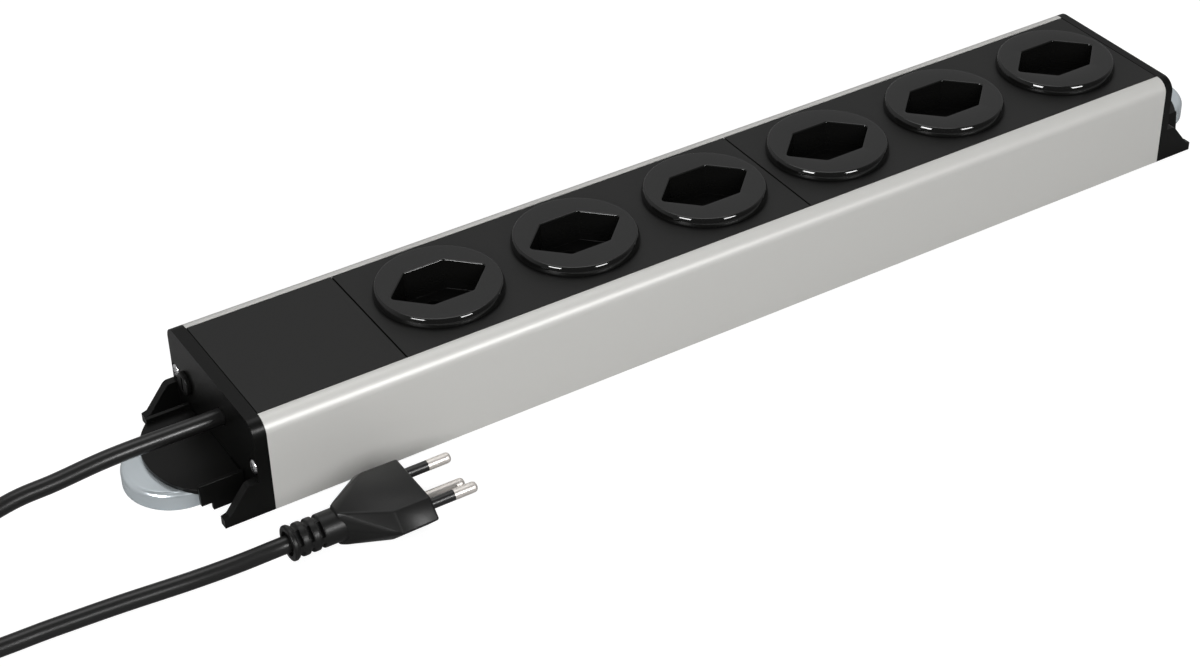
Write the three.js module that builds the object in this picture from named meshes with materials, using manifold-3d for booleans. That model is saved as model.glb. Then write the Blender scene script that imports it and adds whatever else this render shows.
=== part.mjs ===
// Desk power strip: an aluminium profile with six earthed sockets, a blank cover,
// moulded end caps that carry pot magnets, and a moulded lead with a three-pin plug.
//
// Units are millimetres and +Z is up. The origin is the centre of the profile's
// underside. +X runs along the strip, away from the lead. +Y is the side of the earth holes.

import * as THREE from 'three';
import { mergeVertices } from 'three/addons/utils/BufferGeometryUtils.js';
import { ConvexGeometry } from 'three/addons/geometries/ConvexGeometry.js';
import Module from 'manifold-3d';

const wasm = await Module();
wasm.setup();

// ---------- driving dimensions ----------

const PITCH = 58; // one cell of the strip, blank or socket
const CELLS = 7;
const LENGTH = PITCH * CELLS;
const HALF = LENGTH / 2;
const SOCKETS = 6;
const CLEAR = 0.3; // gap between neighbouring pieces

// Extruded profile
const WIDTH = 71.8;
const HEIGHT = 38;
const CORNER_R = 5.5;
const WALL = 2;
const MOUTH_HALF = 29.7; // half the opening between the two top lips
const LIP_UNDER = 36; // underside of the lips
const GROOVE_HALF = 32.9; // half the width of the groove that holds the plates
const RIB_TOP = 33.6;
const RIB_UNDER = 31.9;
const RIB_HALF = 31;
const BOSS = { y: 32.6, z: 19, half: 3.2, bore: 1.45 };

// Plates
const PLATE_Z = { flange: RIB_TOP + CLEAR, step: LIP_UNDER - CLEAR, top: HEIGHT };

// Socket insert
const DISC_R = 24.4;
const DISC_TOP = HEIGHT + 3.9;
const DISC_ROUND = 1.35;
const COLLAR_R = 23.4;
const RECESS_DEPTH = 13;
const RECESS_HALF = 11.5;
const RECESS_TIP = 19.8;
const FLOOR_TOP = DISC_TOP - RECESS_DEPTH;
const FLOOR_UNDER = FLOOR_TOP - 2.5;

// Pins of the plug and the sockets
const PIN = { spread: 9.5, earth: 5, r: 2, hole: 2.35, length: 19, sleeve: 10 };

// Shutter that closes the two live holes of a socket
const SHUTTER = { half: 13, front: -5.5, back: 2.5, z0: FLOOR_UNDER - 2.8, z1: FLOOR_UNDER - 0.4 };
const SEAT_Y = -16.8; // wall that the shutter's spring pushes against

// Contacts
const BAR = { thick: 0.8, z0: 8, line: -14.4, neutral: -19.4, earth: 14 };
const SLEEVE = { out: 2.9, bore: 2.15, z0: 10.5, z1: 20.8 };

// End caps and magnets
const FLANGE = { left: 5, right: 3.6 };
const SPIGOT = { reach: 4.8, half: 29.3, wall: 2 }; // the part of a cap inside the profile
const WING = { reach: 14.2, height: 14.3, thick: 3.4, toe: 3.5 };
const BRACKET = { half: 23.3, z0: 7.5, z1: 9.2, arcCentre: -5.2, arcR: 32, tongue: 12 };
const SKIRT = { top: 11, wall: 1.6, reach: 17.4, foot: 13.3, step: 3, flare: 1.2 };
const MAGNET = { r: 19.5, out: 16.3, height: 7.2, wall: 1.5, hole: 2.1 };
const CAP_SCREW = { head: 2.7, headHeight: 1.9, shank: 1.3, length: 14, recess: 3.1, sink: 1.2 };
const SMOOTH = 28; // sides of a round opening that shows

// Lead and plug
const LEAD_R = 3.15;
const LEAD = { y: -8, z: 24.9, inner: -186 };
const PLUG = { face: -162.2, y: -62.7, z: 8.5, top: 14.4, straight: 14.5, length: 31 };
const PLUG_WIDE = { tip: 18.3, flat: 12.2, foot: 9.8 }; // half widths at the pins, the top and the foot
const PLUG_TAIL = { tip: 4.6, flat: 2.6, foot: 2.6 };
const RELIEF = { start: -24.3, length: 24.5, z: 7.4, neck: 6.1, flange: 6.4, groove: 0.5 };
const WINDOW = { first: 13.5, pitch: 4, half: 0.9, across: 2.8 }; // openings of the strain relief

// ---------- materials ----------

const material = (color, roughness, metalness) =>
  new THREE.MeshStandardMaterial({ color, roughness, metalness });

const aluminium = () => material(0xbdbcb6, 0.42, 0.9);
const blackPlastic = () => material(0x1c1c1c, 0.45, 0);
const glossPlastic = () => material(0x181818, 0.3, 0);
const zinc = () => material(0xc8ccd0, 0.3, 1);
const brass = () => material(0xb8924a, 0.35, 1);
const steel = () => material(0x9a9a9a, 0.35, 1);
const ferrite = () => material(0x3a3a3c, 0.7, 0.2);
const greyPlastic = () => material(0x8c8c88, 0.6, 0);
const pvc = (color) => material(color, 0.5, 0);

// ---------- geometry helpers ----------

function toSolid(geometry) {
  const bare = geometry.clone();
  bare.deleteAttribute('normal');
  bare.deleteAttribute('uv');
  const merged = mergeVertices(bare, 1e-4);
  return new wasm.Manifold(new wasm.Mesh({
    numProp: 3,
    vertProperties: new Float32Array(merged.attributes.position.array),
    triVerts: new Uint32Array(merged.index.array),
  }));
}

function toGeometry(solid) {
  const data = solid.getMesh();
  const geometry = new THREE.BufferGeometry();
  geometry.setAttribute('position', new THREE.BufferAttribute(data.vertProperties, 3));
  geometry.setIndex(new THREE.BufferAttribute(data.triVerts, 1));
  geometry.computeVertexNormals();
  return geometry;
}

function box(x, y, z) {
  const geometry = new THREE.BoxGeometry(x[1] - x[0], y[1] - y[0], z[1] - z[0]);
  geometry.translate((x[0] + x[1]) / 2, (y[0] + y[1]) / 2, (z[0] + z[1]) / 2);
  return toSolid(geometry);
}

// Round bar from `low` to `high` along Z, centred on (x, y)
function rod(r, low, high, x = 0, y = 0, sides = 12) {
  const geometry = new THREE.CylinderGeometry(r, r, high - low, sides);
  geometry.rotateX(Math.PI / 2);
  geometry.translate(x, y, (low + high) / 2);
  return toSolid(geometry);
}

// Round bar from `low` to `high` along X, centred on (y, z)
function rodX(r, low, high, y, z, sides = 14) {
  const geometry = new THREE.CylinderGeometry(r, r, high - low, sides);
  geometry.rotateZ(Math.PI / 2);
  geometry.translate((low + high) / 2, y, z);
  return toSolid(geometry);
}

function extrude(shape, depth, curveSegments = 8) {
  return new THREE.ExtrudeGeometry(shape, { depth, bevelEnabled: false, curveSegments });
}

// Outline in (x, y), from z = low to z = high
function prismZ(shape, low, high, curveSegments) {
  return toSolid(extrude(shape, high - low, curveSegments).translate(0, 0, low));
}

// Outline in (y, z), from x = low to x = high
function prismX(shape, low, high, curveSegments) {
  const turn = new THREE.Matrix4().makeBasis(
    new THREE.Vector3(0, 1, 0), new THREE.Vector3(0, 0, 1), new THREE.Vector3(1, 0, 0));
  return toSolid(extrude(shape, high - low, curveSegments).applyMatrix4(turn).translate(low, 0, 0));
}

// Outline in (x, z), from y = low to y = high
function prismY(shape, low, high, curveSegments) {
  const turn = new THREE.Matrix4().makeBasis(
    new THREE.Vector3(1, 0, 0), new THREE.Vector3(0, 0, 1), new THREE.Vector3(0, -1, 0));
  return toSolid(extrude(shape, high - low, curveSegments).applyMatrix4(turn).translate(0, high, 0));
}

// Turned solid about Z from (radius, height) points that start and end on the axis
function turned(points, sides = 32) {
  const outline = points.map(([r, z]) => new THREE.Vector2(r, z));
  const geometry = new THREE.LatheGeometry(outline, sides);
  geometry.rotateX(Math.PI / 2);
  return toSolid(geometry);
}

function arcPoints(cx, cy, r, from, to, steps) {
  return Array.from({ length: steps + 1 }, (_, i) => {
    const a = from + ((to - from) * i) / steps;
    return [cx + r * Math.cos(a), cy + r * Math.sin(a)];
  });
}

function polygon(points) {
  return new THREE.Shape(points.map(([x, y]) => new THREE.Vector2(x, y)));
}

function circle(r, sides) {
  return polygon(arcPoints(0, 0, r, 0, 2 * Math.PI * (1 - 1 / sides), sides - 1));
}

function tube(points, r, sides, steps) {
  const path = new THREE.CatmullRomCurve3(points.map((p) => new THREE.Vector3(...p)));
  return toSolid(new THREE.ExtrudeGeometry(circle(r, sides), { extrudePath: path, steps }));
}

const strip = new THREE.Group();

function add(name, solid, look, parent = strip) {
  const mesh = new THREE.Mesh(toGeometry(solid), look);
  mesh.name = name;
  parent.add(mesh);
  return mesh;
}

// ---------- aluminium profile ----------

function outline(halfWidth, height, r) {
  const shape = new THREE.Shape();
  shape.moveTo(-halfWidth, 0);
  shape.lineTo(halfWidth, 0);
  shape.lineTo(halfWidth, height - r);
  shape.absarc(halfWidth - r, height - r, r, 0, Math.PI / 2, false);
  shape.lineTo(-halfWidth + r, height);
  shape.absarc(-halfWidth + r, height - r, r, Math.PI / 2, Math.PI, false);
  return shape;
}

function buildProfile() {
  const run = [-HALF - 1, HALF + 1];
  const side = WIDTH / 2 - WALL;
  let profile = prismX(outline(WIDTH / 2, HEIGHT, CORNER_R), -HALF, HALF)
    .subtract(box(run, [-side, side], [WALL, RIB_UNDER]))
    .subtract(box(run, [-RIB_HALF, RIB_HALF], [RIB_UNDER - 1, RIB_TOP + 1]))
    .subtract(box(run, [-GROOVE_HALF, GROOVE_HALF], [RIB_TOP, LIP_UNDER]))
    .subtract(box(run, [-MOUTH_HALF, MOUTH_HALF], [LIP_UNDER - 1, HEIGHT + 1]));
  for (const sign of [-1, 1]) {
    const y = [BOSS.y - BOSS.half + 0.5, side + 0.5].map((v) => v * sign).sort((a, b) => a - b);
    profile = profile.add(box([-HALF, HALF], y, [BOSS.z - BOSS.half, BOSS.z + BOSS.half]));
    profile = profile.subtract(rodX(BOSS.bore, ...run, sign * BOSS.y, BOSS.z));
  }
  return profile.subtract(rod(1.8, 0.5, WALL + 1, EARTH_FOOT.x, EARTH_FOOT.y));
}

// ---------- plates ----------

function buildPlate(x0, x1) {
  const z = PLATE_Z;
  const half = MOUTH_HALF - CLEAR;
  const flange = GROOVE_HALF - CLEAR;
  const section = polygon([
    [-flange, z.flange], [flange, z.flange], [flange, z.step], [half, z.step],
    [half, z.top], [-half, z.top], [-half, z.step], [-flange, z.step],
  ]);
  return prismX(section, x0 + CLEAR / 2, x1 - CLEAR / 2);
}

function buildSocketPlate(x0, centres) {
  let plate = buildPlate(x0, x0 + centres.length * PITCH);
  for (const x of centres) {
    plate = plate.subtract(rod(COLLAR_R + CLEAR, PLATE_Z.flange - 1, HEIGHT + 1, x, 0, 36));
  }
  return plate;
}

// ---------- socket inserts, built about the socket's own axis ----------

function hexagon(half, tip) {
  const flat = tip - half; // the ends are at 45 degrees
  return polygon([[tip, 0], [flat, half], [-flat, half], [-tip, 0], [-flat, -half], [flat, -half]]);
}

function pinHoles() {
  const low = FLOOR_UNDER - 1;
  const high = FLOOR_TOP + 1;
  return [[-PIN.spread, 0], [PIN.spread, 0], [0, PIN.earth]]
    .map(([x, y]) => rod(PIN.hole, low, high, x, y));
}

function buildInsert() {
  const round = DISC_TOP - DISC_ROUND;
  let insert = turned([
    [0, FLOOR_UNDER], [COLLAR_R, FLOOR_UNDER], [COLLAR_R, HEIGHT + 0.1], [DISC_R, HEIGHT + 0.1],
    ...arcPoints(DISC_R - DISC_ROUND, round, DISC_ROUND, 0, Math.PI / 2, 2), [0, DISC_TOP],
  ], 36);
  insert = insert.subtract(prismZ(hexagon(RECESS_HALF, RECESS_TIP), FLOOR_TOP, DISC_TOP + 1));
  for (const hole of pinHoles()) insert = insert.subtract(hole);
  // Guide rails and spring wall under the floor
  const rail = SHUTTER.half + CLEAR;
  for (const sign of [-1, 1]) {
    const span = (a, b) => [a * sign, b * sign].sort((p, q) => p - q);
    const lip = SHUTTER.z0 - 0.4;
    insert = insert
      .add(box(span(rail, rail + 2), [SEAT_Y, 6], [lip - 1.3, FLOOR_UNDER + 0.5]))
      .add(box(span(rail - 1.3, rail + 2), [SEAT_Y, 6], [lip - 1.3, lip]));
  }
  // Snap noses under the plate
  for (const y of [-COLLAR_R - 1.2, COLLAR_R - 1]) {
    insert = insert.add(box([-4, 4], [y, y + 2.2], [RIB_UNDER - 0.4, PLATE_Z.flange - CLEAR]));
  }
  return insert.add(box([-8, 8], [SEAT_Y - 1.8, SEAT_Y], [SHUTTER.z0, FLOOR_UNDER + 0.5]));
}

// Plate with a sloped back edge: the pins press on the slope and slide it aside
function buildShutter() {
  const { front, back, z0, z1 } = SHUTTER;
  const section = polygon([[front, z0], [back, z0], [back, z0 + 0.4], [-0.6, z1], [front, z1]]);
  return prismX(section, -SHUTTER.half, SHUTTER.half);
}

// Folded leaf spring between the shutter and the spring wall
function buildSpring() {
  const reach = 5;
  const leaves = 6;
  const thick = 0.5;
  const z = [SHUTTER.z0 + 0.3, SHUTTER.z1 - 0.3];
  const start = SEAT_Y + CLEAR;
  const step = (SHUTTER.front - CLEAR - start - thick) / (leaves - 1);
  let spring = box([-reach, reach], [start, start + thick], z);
  for (let i = 1; i < leaves; i += 1) {
    const y = start + i * step;
    const fold = i % 2 ? [reach - thick, reach] : [-reach, thick - reach];
    spring = spring.add(box([-reach, reach], [y, y + thick], z))
      .add(box(fold, [y - step, y + thick], z));
  }
  return spring;
}

// ---------- contacts and their carriers ----------

function buildCarrier(x0, centres) {
  const half = 27.5;
  const run = [x0 + CLEAR, Math.min(x0 + centres.length * PITCH, HALF - SPIGOT.reach) - CLEAR];
  const floor = WALL + CLEAR;
  let carrier = box(run, [-half, half], [floor, RIB_TOP])
    .subtract(box([run[0] - 1, run[1] + 1], [-half + 2, half - 2], [floor + 2, RIB_TOP + 1]));
  for (const x of centres) {
    for (const dx of [-22, 22]) {
      carrier = carrier.add(box([x + dx - 1, x + dx + 1], [-half + 1, half - 1], [floor + 1, 7.5]));
    }
  }
  return carrier;
}

// A bar along the strip with one folded contact sleeve at each socket
function buildBusbar(barY, barTop, start, pinX, pinY, tongueZ) {
  let bar = box([start, HALF - 12], [barY, barY + BAR.thick], [BAR.z0, barTop]);
  const { out, bore, z0, z1 } = SLEEVE;
  const reach = [barY + BAR.thick / 2, pinY + Math.sign(barY) * (out - 0.3)].sort((a, b) => a - b);
  for (const socketX of socketCentres) {
    const x = socketX + pinX;
    const around = (half, low, high) => box([x - half, x + half], [pinY - half, pinY + half], [low, high]);
    const tongue = box([x - 1.5, x + 1.5], reach, [tongueZ, tongueZ + 0.9]);
    bar = bar.add(tongue.add(around(out, z0, z1)).subtract(around(bore, z0 - 1, z1 + 1)));
  }
  return bar;
}

const EARTH_FOOT = { x: -154, y: 18, r: 2.2 };

function buildEarthBar() {
  const x = [EARTH_FOOT.x - 4, EARTH_FOOT.x + 4];
  const z0 = WALL + 0.6;
  const tail = box([x[0], x[1] + 1], [BAR.earth, BAR.earth + BAR.thick], [z0, 16])
    .add(box(x, [BAR.earth, EARTH_FOOT.y + 4], [z0, z0 + 1]))
    .subtract(rod(EARTH_FOOT.r, 0, 8, EARTH_FOOT.x, EARTH_FOOT.y));
  return buildBusbar(BAR.earth, 16, x[1], 0, PIN.earth, 12).add(tail);
}

// ---------- screws: head on top, shank pointing down, the seat at z = 0 ----------

function buildScrew(headR, headH, shankR, length) {
  const domed = [[headR, headH * 0.45], [headR * 0.8, headH * 0.85], [0, headH]];
  const arm = headR * 0.6;
  const slot = headR * 0.16;
  return turned([[0, -length], [shankR, -length], [shankR, 0], [headR, 0], ...domed], 14)
    .subtract(box([-arm, arm], [-slot, slot], [headH * 0.4, headH + 1]));
}

function buildCountersunkScrew(headR, shankR, headH, length) {
  const slot = box([-headR * 0.6, headR * 0.6], [-0.4, 0.4], [-0.8, 1]);
  return turned([[0, -length], [shankR, -length], [shankR, -headH], [headR, 0], [0, 0]], 16)
    .subtract(slot);
}

// ---------- end caps: local +X points outwards from the end of the profile ----------

// Foot plate beside the magnet: a low toe, a steep slope and a rounded shoulder
function wingOutline(flange) {
  const shape = new THREE.Shape();
  const out = flange + WING.reach;
  shape.moveTo(flange - 1, 0);
  shape.lineTo(out, 0);
  shape.lineTo(out, WING.toe);
  shape.lineTo(out - 2.1, WING.toe + 0.6);
  shape.lineTo(flange + 4.9, WING.height - 1.1);
  shape.quadraticCurveTo(flange + 4, WING.height, flange + 2.8, WING.height);
  shape.lineTo(flange - 1, WING.height);
  return shape;
}

function bracketOutline(flange) {
  const { half, arcCentre, arcR } = BRACKET;
  const a = Math.asin(half / arcR);
  const arc = arcPoints(flange + arcCentre, 0, arcR, -a, a, 24);
  return polygon([[flange + CLEAR, -half], ...arc, [flange + CLEAR, half]]);
}

// Side wall of the bracket: it leans outwards, rises above the plate as a rail, and its outer
// end stops short of the ground
function buildSkirt(flange, sign) {
  const { half } = BRACKET;
  const { top, wall, reach, foot, step, flare } = SKIRT;
  const section = (low) => {
    const y = half + (flare * (top - low)) / top;
    const corners = [[y, low], [half, top], [half - wall, top], [y - wall, low]];
    return polygon(corners.map(([across, z]) => [sign * across, z]));
  };
  return prismX(section(0), flange + CLEAR, flange + foot)
    .add(prismX(section(step), flange + foot - 1, flange + reach));
}

// Plate over the magnet with a skirt on each side and a snap tongue through the cap
function buildBracket(flange) {
  const { z0, z1, tongue } = BRACKET;
  const hook = { x: [-3, -CLEAR], rise: 1.2 };
  return prismZ(bracketOutline(flange), z0, z1)
    .add(box([hook.x[0], flange + 1], [-tongue, tongue], [z0, z1]))
    .add(box(hook.x, [-tongue, tongue], [z1 - 0.5, z1 + hook.rise]))
    .add(buildSkirt(flange, -1))
    .add(buildSkirt(flange, 1))
    .subtract(rod(1.7, 5, z1 - 0.6, flange + MAGNET.out, 0));
}

function buildCap(flange) {
  const half = WIDTH / 2;
  const { z0, z1, tongue } = BRACKET;
  const { reach, wall } = SPIGOT;
  const z = [WALL + CLEAR, RIB_UNDER - CLEAR];
  const hollow = SPIGOT.half - wall;
  const spigot = box([-reach, 1], [-SPIGOT.half, SPIGOT.half], z)
    .subtract(box([-reach - 1, 0], [-hollow, hollow], [z[0] + wall, z[1] - wall]));
  let cap = prismX(outline(half, HEIGHT, CORNER_R), 0, flange)
    .add(spigot)
    .subtract(rod(MAGNET.r + 0.4, -1, z0 - 0.1, flange + MAGNET.out, 0, 48))
    .subtract(box([-1, flange + 1], [-tongue - CLEAR, tongue + CLEAR], [z0 - CLEAR, z1 + CLEAR]));
  for (const sign of [-1, 1]) {
    const y = [half * sign, (half - WING.thick) * sign].sort((p, q) => p - q);
    cap = cap.add(prismY(wingOutline(flange), ...y, 4))
      .subtract(rodX(CAP_SCREW.shank + 0.4, -1, flange + 1, sign * BOSS.y, BOSS.z))
      .subtract(rodX(CAP_SCREW.recess, flange - CAP_SCREW.sink, flange + 1, sign * BOSS.y, BOSS.z, SMOOTH));
  }
  return cap;
}

const CLAMP = { x0: -15, x1: -10.2, spread: 6.2, half: 8.7, bore: 1.3, over: 4 };
const SHELF = { half: 9, under: 17, top: LEAD.z - LEAD_R - 0.4 }; // carries the lead and its clamp
const VENT_PLUG = { y: -22.8, z: 19.8, r: 5.5, stem: 4, proud: 1.8, slot: 3.6 };

// The lead's hole is at local y = -LEAD.y, because this end is turned half round
function buildLeadCap() {
  const y = -LEAD.y;
  const through = [-1, FLANGE.left + 1];
  let cap = buildCap(FLANGE.left)
    .add(box([CLAMP.x0 - 0.5, 0.5], [y - SHELF.half, y + SHELF.half], [SHELF.under, SHELF.top]))
    .subtract(rodX(LEAD_R + CLEAR, ...through, y, LEAD.z, SMOOTH))
    .subtract(rodX(VENT_PLUG.stem + CLEAR, ...through, VENT_PLUG.y, VENT_PLUG.z));
  for (const sign of [-1, 1]) {
    const x = (CLAMP.x0 + CLAMP.x1) / 2;
    cap = cap.subtract(rod(CLAMP.bore, SHELF.under + 0.85, SHELF.top + 1, x, y + sign * CLAMP.spread, 10));
  }
  return cap;
}

function buildClamp() {
  const y = -LEAD.y;
  const foot = SHELF.top + CLEAR;
  const top = LEAD.z + CLAMP.over;
  const wide = [CLAMP.x0 - 1, CLAMP.x1 + 1];
  const saddle = LEAD_R + CLEAR;
  let clamp = box([CLAMP.x0, CLAMP.x1], [y - CLAMP.half, y + CLAMP.half], [foot, top])
    .subtract(rodX(saddle, ...wide, y, LEAD.z))
    .subtract(box(wide, [y - saddle, y + saddle], [foot - 1, LEAD.z]));
  for (const sign of [-1, 1]) {
    const x = (CLAMP.x0 + CLAMP.x1) / 2;
    clamp = clamp.subtract(rod(CLAMP.bore, foot - 1, top + 1, x, y + sign * CLAMP.spread, 10));
  }
  return clamp;
}

function buildVentPlug() {
  const { y, z, r, stem, slot } = VENT_PLUG;
  const face = FLANGE.left + VENT_PLUG.proud;
  return rodX(r, FLANGE.left + 0.1, face, y, z, SMOOTH)
    .add(rodX(stem, -1, FLANGE.left + 0.5, y, z))
    .subtract(box([face - 1, face + 1], [y - slot, y + slot], [z - 0.7, z + 0.7]));
}

// ---------- pot magnet: axis at the local origin, working face at z = 0 ----------

function buildMagnetCup() {
  const { r, height, wall } = MAGNET;
  const shoulder = 2.2;
  return turned([
    [0, height - wall], [r - wall, height - wall], [r - wall, 0], [r, 0],
    ...arcPoints(r - shoulder, height - shoulder, shoulder, 0, Math.PI / 2, 2), [0, height],
  ], 40).subtract(rod(MAGNET.hole, 0, height + 1));
}

function buildMagnetCore() {
  const top = MAGNET.height - MAGNET.wall - CLEAR;
  return rod(MAGNET.r - MAGNET.wall - CLEAR, 0, top, 0, 0, 28)
    .subtract(rod(4.6, -1, top + 1));
}

// ---------- lead ----------

function buildLead() {
  const { y, z, inner } = LEAD;
  const floorZ = LEAD_R + 0.15;
  const entry = PLUG.face + RELIEF.start - RELIEF.length;
  return tube([
    [inner, y, z], [-215, y, z], [-250, y, z], [-270, y, z - 1.8], [-286, y, z - 2.9],
    [-312, y - 2, z - 9], [-336, y - 9, z - 16.5], [-347, y - 23, floorZ + 1.2],
    [-338, y - 38, floorZ], [-320, y - 44, floorZ], [-292, y - 45.6, floorZ],
    [-270, y - 47, floorZ], [-244, y - 49.5, floorZ + 0.1], [-228, y - 52, floorZ + 1.6],
    [entry - 3, PLUG.y, RELIEF.z], [entry + 10, PLUG.y, RELIEF.z],
  ], LEAD_R, 12, 52);
}

function buildWire(points) {
  return tube(points, 1.2, 6, 10);
}

// ---------- plug: local +X along the pins, the face at x = 0, line and neutral at y, z = 0 ----------

function hexSection(x, { tip, flat, foot }, scale = 1) {
  const up = PLUG.top - PLUG.z;
  return [[tip, 0], [flat, up], [-flat, up], [-tip, 0], [-foot, -PLUG.z], [foot, -PLUG.z]]
    .map(([y, h]) => new THREE.Vector3(x, y * scale, h));
}

// Flattened six-sided block whose top and foot end in narrow tails over and under the strain relief
function buildPlugBody() {
  const corners = [
    ...hexSection(0, PLUG_WIDE, 0.985), ...hexSection(-1, PLUG_WIDE),
    ...hexSection(-PLUG.straight, PLUG_WIDE), ...hexSection(-PLUG.length, PLUG_TAIL),
  ];
  let body = toSolid(new ConvexGeometry(corners));
  for (const [y, z] of pinPlaces) {
    body = body.subtract(rodX(PIN.r + CLEAR, -8, 1, y, z));
  }
  const axisZ = RELIEF.z - PLUG.z;
  return body.subtract(rodX(RELIEF.neck + CLEAR, -PLUG.length - 1, RELIEF.start + CLEAR, 0, axisZ, SMOOTH));
}

// Round neck, then ribs with four windows between each pair, and an end flange
function buildRelief() {
  const { start, length, neck, flange, groove } = RELIEF;
  const { half, across } = WINDOW;
  const gaps = [0, 1, 2].map((i) => WINDOW.first + i * WINDOW.pitch);
  const grooves = gaps.flatMap((z) => [
    [neck, z - half - 0.2], [neck - groove, z - half], [neck - groove, z + half], [neck, z + half + 0.2],
  ]);
  let relief = turned([
    [0, 0], [neck, 0], ...grooves, [flange, length - 1.6], [flange, length], [0, length],
  ], 24)
    .subtract(rod(LEAD_R + CLEAR, -1, length + 1))
    .subtract(rod(LEAD_R + 1.4, length - 1.2, length + 1));
  for (const z of gaps) {
    for (const turn of [45, 135, 225, 315]) {
      const opening = box([LEAD_R, neck + 1], [-across, across], [z - half, z + half]);
      relief = relief.subtract(opening.rotate([0, 0, turn]));
    }
  }
  return relief.rotate([0, -90, 0]).translate([start, 0, RELIEF.z - PLUG.z]);
}

const pinPlaces = [[-PIN.spread, 0], [PIN.spread, 0], [0, -PIN.earth]];

function buildLivePin(y, z) {
  const neck = PIN.r - 0.45; // the insulating sleeve sits in this turned-down length
  return rodX(neck, -7, PIN.sleeve + 0.5, y, z)
    .add(rodX(PIN.r, PIN.sleeve + CLEAR, PIN.length - 1, y, z))
    .add(rodX(PIN.r - 0.7, PIN.length - 1.2, PIN.length, y, z));
}

function buildEarthPin(y, z) {
  return rodX(PIN.r, -7, PIN.length - 1, y, z)
    .add(rodX(PIN.r - 0.7, PIN.length - 1.2, PIN.length, y, z));
}

function buildSleeve(y, z) {
  return rodX(PIN.r, -6, PIN.sleeve, y, z).subtract(rodX(PIN.r - 0.35, -7, PIN.sleeve + 1, y, z));
}

// ---------- assembly ----------

const socketCentres = Array.from({ length: SOCKETS }, (_, i) => -HALF + PITCH * (i + 1.5));
const groupA = socketCentres.slice(0, 3);
const groupB = socketCentres.slice(3);
const startA = -HALF + PITCH;
const startB = startA + 3 * PITCH;

add('profile', buildProfile(), aluminium());
add('blank_cover', buildPlate(-HALF, startA), blackPlastic());
add('socket_plate_a', buildSocketPlate(startA, groupA), blackPlastic());
add('socket_plate_b', buildSocketPlate(startB, groupB), blackPlastic());

socketCentres.forEach((x, i) => {
  const socket = new THREE.Group();
  socket.position.x = x;
  strip.add(socket);
  add(`socket_insert_${i + 1}`, buildInsert(), glossPlastic(), socket);
  add(`shutter_${i + 1}`, buildShutter(), blackPlastic(), socket);
  add(`shutter_spring_${i + 1}`, buildSpring(), steel(), socket);
});

add('contact_carrier_a', buildCarrier(startA, groupA), greyPlastic());
add('contact_carrier_b', buildCarrier(startB, groupB), greyPlastic());
const barStart = EARTH_FOOT.x + 4;
add('busbar_line', buildBusbar(BAR.line, 15.5, barStart, -PIN.spread, 0, 12), brass());
add('busbar_neutral', buildBusbar(BAR.neutral, 18.2, barStart, PIN.spread, 0, 17.2), brass());
add('busbar_earth', buildEarthBar(), brass());

const earthScrew = add('earth_screw', buildScrew(3.1, 2.2, 1.6, 3), steel());
earthScrew.position.set(EARTH_FOOT.x, EARTH_FOOT.y, WALL + 1.75);

function buildEnd(side, flange, turn) {
  const end = new THREE.Group();
  end.position.x = turn ? -HALF : HALF;
  end.rotation.z = turn;
  strip.add(end);
  for (const [place, sign] of [['front', -1], ['back', 1]]) {
    const { head, headHeight, shank, length, sink } = CAP_SCREW;
    const shape = buildScrew(head, headHeight, shank, length);
    const screw = add(`cap_screw_${side}_${place}`, shape, steel(), end);
    screw.rotation.y = Math.PI / 2;
    screw.position.set(flange - sink + 0.1, (turn ? -1 : 1) * sign * BOSS.y, BOSS.z);
  }
  add(`magnet_bracket_${side}`, buildBracket(flange), blackPlastic(), end);
  const magnet = new THREE.Group();
  magnet.position.x = flange + MAGNET.out;
  end.add(magnet);
  add(`magnet_cup_${side}`, buildMagnetCup(), zinc(), magnet);
  add(`magnet_core_${side}`, buildMagnetCore(), ferrite(), magnet);
  const screw = add(`magnet_screw_${side}`, buildCountersunkScrew(3.9, 1.4, 2.4, 8), steel(), magnet);
  screw.rotation.x = Math.PI;
  screw.position.z = 0.6;
  return end;
}

const leadEnd = buildEnd('left', FLANGE.left, Math.PI);
add('end_cap_left', buildLeadCap(), blackPlastic(), leadEnd);
add('vent_plug', buildVentPlug(), blackPlastic(), leadEnd);
add('cable_clamp', buildClamp(), greyPlastic(), leadEnd);
for (const [name, sign] of [['a', -1], ['b', 1]]) {
  const screw = add(`clamp_screw_${name}`, buildScrew(2.2, 1.4, 1, 9.5), steel(), leadEnd);
  screw.position.set((CLAMP.x0 + CLAMP.x1) / 2, -LEAD.y + sign * CLAMP.spread, LEAD.z + 4.1);
}
const farEnd = buildEnd('right', FLANGE.right, 0);
add('end_cap_right', buildCap(FLANGE.right), blackPlastic(), farEnd);

add('cable', buildLead(), pvc(0x161616));
const coreX = LEAD.inner + 0.8;
const barEnd = barStart - 0.8;
const earthEnd = EARTH_FOOT.x - 4.8;
add('wire_line', buildWire([
  [coreX, LEAD.y - 1.4, LEAD.z - 0.9], [-174, -11, 20], [-161, -14, 14], [barEnd, -14, 12],
]), pvc(0x5a3a22));
add('wire_neutral', buildWire([
  [coreX, LEAD.y, LEAD.z + 1.5], [-174, -12.5, 26.5], [-160, -19, 18], [barEnd, -19, 12],
]), pvc(0x2c5aa0));
add('wire_earth', buildWire([
  [coreX, LEAD.y + 1.4, LEAD.z - 0.9], [-176, 1, 21], [-167, 12, 14], [earthEnd, 14.4, 12],
]), pvc(0x7fa03a));

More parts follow.
